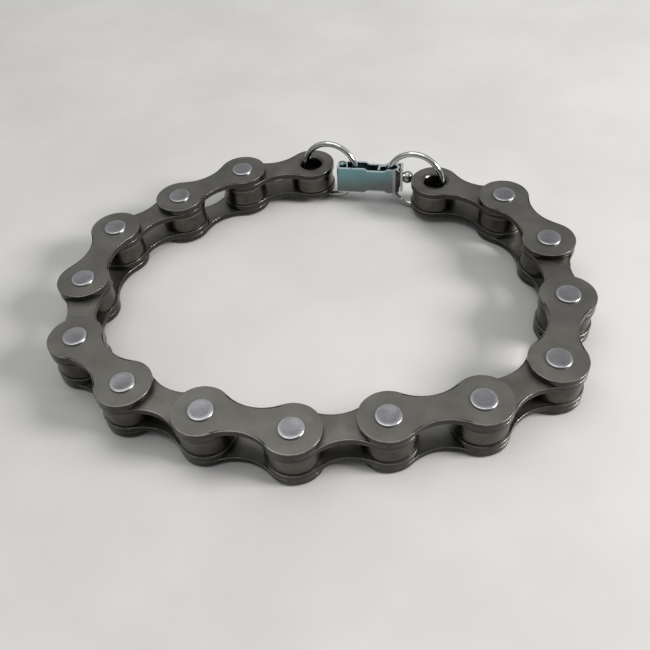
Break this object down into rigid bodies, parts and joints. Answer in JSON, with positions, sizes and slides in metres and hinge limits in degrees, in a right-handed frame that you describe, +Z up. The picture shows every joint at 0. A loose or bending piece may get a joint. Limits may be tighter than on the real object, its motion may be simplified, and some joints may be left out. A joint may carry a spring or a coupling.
{
  "type": "roller chain bracelet",
  "caption": "Closed bracelet of half-inch roller chain lying on its side, joined by two jump rings and a small fold-over clasp with a thumb knob.",
  "frame": {"origin": "middle of the bracelet's outline, on the surface that it lies on", "axes": "+Z up out of the loop, +Y towards the clasp, +X to the right with the clasp at the back"},
  "size_m": [0.0824, 0.0682, 0.011],
  "materials": {
    "outer_plate_steel": "satin dark brown oxide, worn bright at the edges",
    "inner_plate_steel": "satin dark brown oxide, worn bright at the edges",
    "pin_steel": "burnished rivet heads with bright rims",
    "bush_steel": "oiled steel",
    "roller_steel": "dark polished steel with turning marks",
    "ring_wire": "polished nickel plate",
    "clasp_sheet": "polished nickel plate with fine scratches",
    "clasp_pin": "polished nickel plate",
    "clasp_knob": "polished nickel plate"
  },
  "bodies": {
    "inner_link_1": {"inner_link_1_plates": "inner_plate_steel", "inner_link_1_bushes": "bush_steel"},
    "outer_link_1": {"outer_link_1_lower_plate": "outer_plate_steel", "outer_link_1_upper_plate": "outer_plate_steel", "outer_link_1_pins": "pin_steel"},
    "inner_link_2": {"inner_link_2_plates": "inner_plate_steel", "inner_link_2_bushes": "bush_steel"},
    "outer_link_2": {"outer_link_2_lower_plate": "outer_plate_steel", "outer_link_2_upper_plate": "outer_plate_steel", "outer_link_2_pins": "pin_steel"},
    "inner_link_3": {"inner_link_3_plates": "inner_plate_steel", "inner_link_3_bushes": "bush_steel"},
    "outer_link_3": {"outer_link_3_lower_plate": "outer_plate_steel", "outer_link_3_upper_plate": "outer_plate_steel", "outer_link_3_pins": "pin_steel"},
    "inner_link_4": {"inner_link_4_plates": "inner_plate_steel", "inner_link_4_bushes": "bush_steel"},
    "outer_link_4": {"outer_link_4_lower_plate": "outer_plate_steel", "outer_link_4_upper_plate": "outer_plate_steel", "outer_link_4_pins": "pin_steel"},
    "inner_link_5": {"inner_link_5_plates": "inner_plate_steel", "inner_link_5_bushes": "bush_steel"},
    "outer_link_5": {"outer_link_5_lower_plate": "outer_plate_steel", "outer_link_5_upper_plate": "outer_plate_steel", "outer_link_5_pins": "pin_steel"},
    "inner_link_6": {"inner_link_6_plates": "inner_plate_steel", "inner_link_6_bushes": "bush_steel"},
    "outer_link_6": {"outer_link_6_lower_plate": "outer_plate_steel", "outer_link_6_upper_plate": "outer_plate_steel", "outer_link_6_pins": "pin_steel"},
    "inner_link_7": {"inner_link_7_plates": "inner_plate_steel", "inner_link_7_bushes": "bush_steel"},
    "outer_link_7": {"outer_link_7_lower_plate": "outer_plate_steel", "outer_link_7_upper_plate": "outer_plate_steel", "outer_link_7_pins": "pin_steel"},
    "inner_link_8": {"inner_link_8_plates": "inner_plate_steel", "inner_link_8_bushes": "bush_steel"},
    "roller_01": {"roller_01": "roller_steel"},
    "roller_02": {"roller_02": "roller_steel"},
    "roller_03": {"roller_03": "roller_steel"},
    "roller_04": {"roller_04": "roller_steel"},
    "roller_05": {"roller_05": "roller_steel"},
    "roller_06": {"roller_06": "roller_steel"},
    "roller_07": {"roller_07": "roller_steel"},
    "roller_08": {"roller_08": "roller_steel"},
    "roller_09": {"roller_09": "roller_steel"},
    "roller_10": {"roller_10": "roller_steel"},
    "roller_11": {"roller_11": "roller_steel"},
    "roller_12": {"roller_12": "roller_steel"},
    "roller_13": {"roller_13": "roller_steel"},
    "roller_14": {"roller_14": "roller_steel"},
    "roller_15": {"roller_15": "roller_steel"},
    "roller_16": {"roller_16": "roller_steel"},
    "ring_left": {"ring_left": "ring_wire"},
    "ring_right": {"ring_right": "ring_wire"},
    "clasp_base": {"clasp_base": "clasp_sheet", "clasp_hinge_pin": "clasp_pin"},
    "clasp_lever": {"clasp_lever": "clasp_sheet", "clasp_knob": "clasp_knob"}
  },
  "joints": [
    {"name": "ring_left_swing", "type": "hinge", "parent": "inner_link_1", "child": "ring_left", "pos_m": [0.00093, 0.02993, 0.00385], "axis": [0, 0, 1], "range_deg": [-1.5, 1.5]},
    {"name": "ring_right_swing", "type": "hinge", "parent": "inner_link_8", "child": "ring_right", "pos_m": [0.02228, 0.02086, 0.00385], "axis": [0, 0, 1], "range_deg": [-75, 0]},
    {"name": "clasp_base_swing", "type": "hinge", "parent": "ring_right", "child": "clasp_base", "pos_m": [0.01532, 0.02461, 0.00488], "axis": [0.0285, 0.1185, 0.9925], "range_deg": [-2.5, 2.5]},
    {"name": "clasp_lever_open", "type": "hinge", "parent": "clasp_base", "child": "clasp_lever", "pos_m": [0.00651, 0.0277, 0.00476], "axis": [0.0285, 0.1185, 0.9925], "range_deg": [0, 90]},
    {"name": "pin_08_bend", "type": "hinge", "parent": "outer_link_4", "child": "inner_link_5", "pos_m": [-0.00516, -0.02993, 0.00385], "axis": [0, 0, -1], "range_deg": [0, 72]},
    {"name": "pin_09_bend", "type": "hinge", "parent": "inner_link_5", "child": "outer_link_5", "pos_m": [0.00754, -0.02949, 0.00385], "axis": [0, 0, 1], "range_deg": [-53, 0]},
    {"name": "pin_10_bend", "type": "hinge", "parent": "outer_link_5", "child": "inner_link_6", "pos_m": [0.02019, -0.02838, 0.00385], "axis": [0, 0, -1], "range_deg": [0, 71]},
    {"name": "pin_11_bend", "type": "hinge", "parent": "inner_link_6", "child": "outer_link_6", "pos_m": [0.0316, -0.02281, 0.00385], "axis": [0, 0, 1], "range_deg": [-92, 0]},
    {"name": "pin_12_bend", "type": "hinge", "parent": "outer_link_6", "child": "inner_link_7", "pos_m": [0.03636, -0.01104, 0.00385], "axis": [0, 0, -1], "range_deg": [0, 69]},
    {"name": "pin_13_bend", "type": "hinge", "parent": "inner_link_7", "child": "outer_link_7", "pos_m": [0.03703, 0.00164, 0.00385], "axis": [0, 0, 1], "range_deg": [-73, 0]},
    {"name": "pin_14_bend", "type": "hinge", "parent": "outer_link_7", "child": "inner_link_8", "pos_m": [0.03268, 0.01358, 0.00385], "axis": [0, 0, -1], "range_deg": [0, 85]},
    {"name": "pin_07_bend", "type": "hinge", "parent": "outer_link_4", "child": "inner_link_4", "pos_m": [-0.01709, -0.02559, 0.00385], "axis": [0, 0, 1], "range_deg": [0, 59]},
    {"name": "pin_06_bend", "type": "hinge", "parent": "inner_link_4", "child": "outer_link_3", "pos_m": [-0.0282, -0.01943, 0.00385], "axis": [0, 0, -1], "range_deg": [-71, 0]},
    {"name": "pin_05_bend", "type": "hinge", "parent": "outer_link_3", "child": "inner_link_3", "pos_m": [-0.03636, -0.0097, 0.00385], "axis": [0, 0, 1], "range_deg": [0, 87]},
    {"name": "pin_04_bend", "type": "hinge", "parent": "inner_link_3", "child": "outer_link_2", "pos_m": [-0.03703, 0.00298, 0.00385], "axis": [0, 0, -1], "range_deg": [-70, 0]},
    {"name": "pin_03_bend", "type": "hinge", "parent": "outer_link_2", "child": "inner_link_2", "pos_m": [-0.03331, 0.01513, 0.00385], "axis": [0, 0, 1], "range_deg": [0, 89]},
    {"name": "pin_02_bend", "type": "hinge", "parent": "inner_link_2", "child": "outer_link_1", "pos_m": [-0.02278, 0.02223, 0.00385], "axis": [0, 0, -1], "range_deg": [-55, 0]},
    {"name": "pin_01_bend", "type": "hinge", "parent": "outer_link_1", "child": "inner_link_1", "pos_m": [-0.01168, 0.02838, 0.00385], "axis": [0, 0, 1], "range_deg": [0, 72]},
    {"name": "roller_01_spin", "type": "hinge", "parent": "inner_link_1", "child": "roller_01", "pos_m": [0.00093, 0.02993, 0.00385], "axis": [0, 0, 1], "continuous": true},
    {"name": "roller_02_spin", "type": "hinge", "parent": "inner_link_1", "child": "roller_02", "pos_m": [-0.01168, 0.02838, 0.00385], "axis": [0, 0, 1], "continuous": true},
    {"name": "roller_03_spin", "type": "hinge", "parent": "inner_link_2", "child": "roller_03", "pos_m": [-0.02278, 0.02223, 0.00385], "axis": [0, 0, 1], "continuous": true},
    {"name": "roller_04_spin", "type": "hinge", "parent": "inner_link_2", "child": "roller_04", "pos_m": [-0.03331, 0.01513, 0.00385], "axis": [0, 0, 1], "continuous": true},
    {"name": "roller_05_spin", "type": "hinge", "parent": "inner_link_3", "child": "roller_05", "pos_m": [-0.03703, 0.00298, 0.00385], "axis": [0, 0, 1], "continuous": true},
    {"name": "roller_06_spin", "type": "hinge", "parent": "inner_link_3", "child": "roller_06", "pos_m": [-0.03636, -0.0097, 0.00385], "axis": [0, 0, 1], "continuous": true},
    {"name": "roller_07_spin", "type": "hinge", "parent": "inner_link_4", "child": "roller_07", "pos_m": [-0.0282, -0.01943, 0.00385], "axis": [0, 0, 1], "continuous": true},
    {"name": "roller_08_spin", "type": "hinge", "parent": "inner_link_4", "child": "roller_08", "pos_m": [-0.01709, -0.02559, 0.00385], "axis": [0, 0, 1], "continuous": true},
    {"name": "roller_09_spin", "type": "hinge", "parent": "inner_link_5", "child": "roller_09", "pos_m": [-0.00516, -0.02993, 0.00385], "axis": [0, 0, 1], "continuous": true},
    {"name": "roller_10_spin", "type": "hinge", "parent": "inner_link_5", "child": "roller_10", "pos_m": [0.00754, -0.02949, 0.00385], "axis": [0, 0, 1], "continuous": true},
    {"name": "roller_11_spin", "type": "hinge", "parent": "inner_link_6", "child": "roller_11", "pos_m": [0.02019, -0.02838, 0.00385], "axis": [0, 0, 1], "continuous": true},
    {"name": "roller_12_spin", "type": "hinge", "parent": "inner_link_6", "child": "roller_12", "pos_m": [0.0316, -0.02281, 0.00385], "axis": [0, 0, 1], "continuous": true},
    {"name": "roller_13_spin", "type": "hinge", "parent": "inner_link_7", "child": "roller_13", "pos_m": [0.03636, -0.01104, 0.00385], "axis": [0, 0, 1], "continuous": true},
    {"name": "roller_14_spin", "type": "hinge", "parent": "inner_link_7", "child": "roller_14", "pos_m": [0.03703, 0.00164, 0.00385], "axis": [0, 0, 1], "continuous": true},
    {"name": "roller_15_spin", "type": "hinge", "parent": "inner_link_8", "child": "roller_15", "pos_m": [0.03268, 0.01358, 0.00385], "axis": [0, 0, 1], "continuous": true},
    {"name": "roller_16_spin", "type": "hinge", "parent": "inner_link_8", "child": "roller_16", "pos_m": [0.02228, 0.02086, 0.00385], "axis": [0, 0, 1], "continuous": true}
  ]
}
